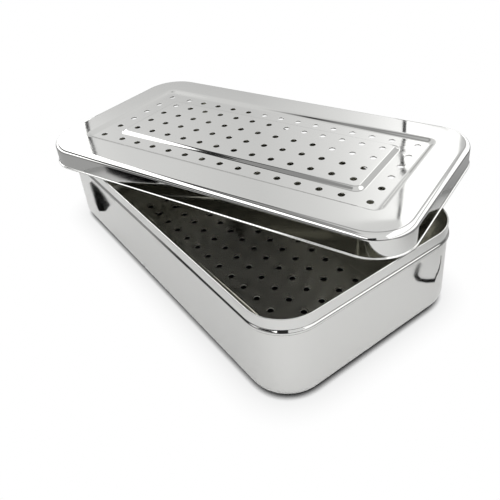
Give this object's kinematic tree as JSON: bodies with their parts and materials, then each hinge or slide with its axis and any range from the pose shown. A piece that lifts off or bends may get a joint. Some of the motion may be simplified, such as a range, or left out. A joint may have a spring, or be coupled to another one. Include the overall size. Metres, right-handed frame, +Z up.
{
  "type": "sterilization container",
  "caption": "Shallow oblong steel box with round corners, a beaded wall and a raised, perforated floor, and its perforated pressed lid, laid askew across the rim.",
  "frame": {"origin": "middle of the box's flat underside, on the surface that it stands on", "axes": "+X along the box, +Y across it, +Z up, out of its open top"},
  "size_m": [0.2172, 0.16, 0.0539],
  "materials": {
    "box_steel": "polished bright inside and out",
    "lid_steel": "polished bright inside and out"
  },
  "bodies": {
    "box": {"box": "box_steel"},
    "lid": {"lid": "lid_steel"}
  },
  "joints": [
    {"name": "lid_lift", "type": "slide", "parent": "box", "child": "lid", "axis": [0, 0, 1], "range_m": [0, 0.08]}
  ]
}
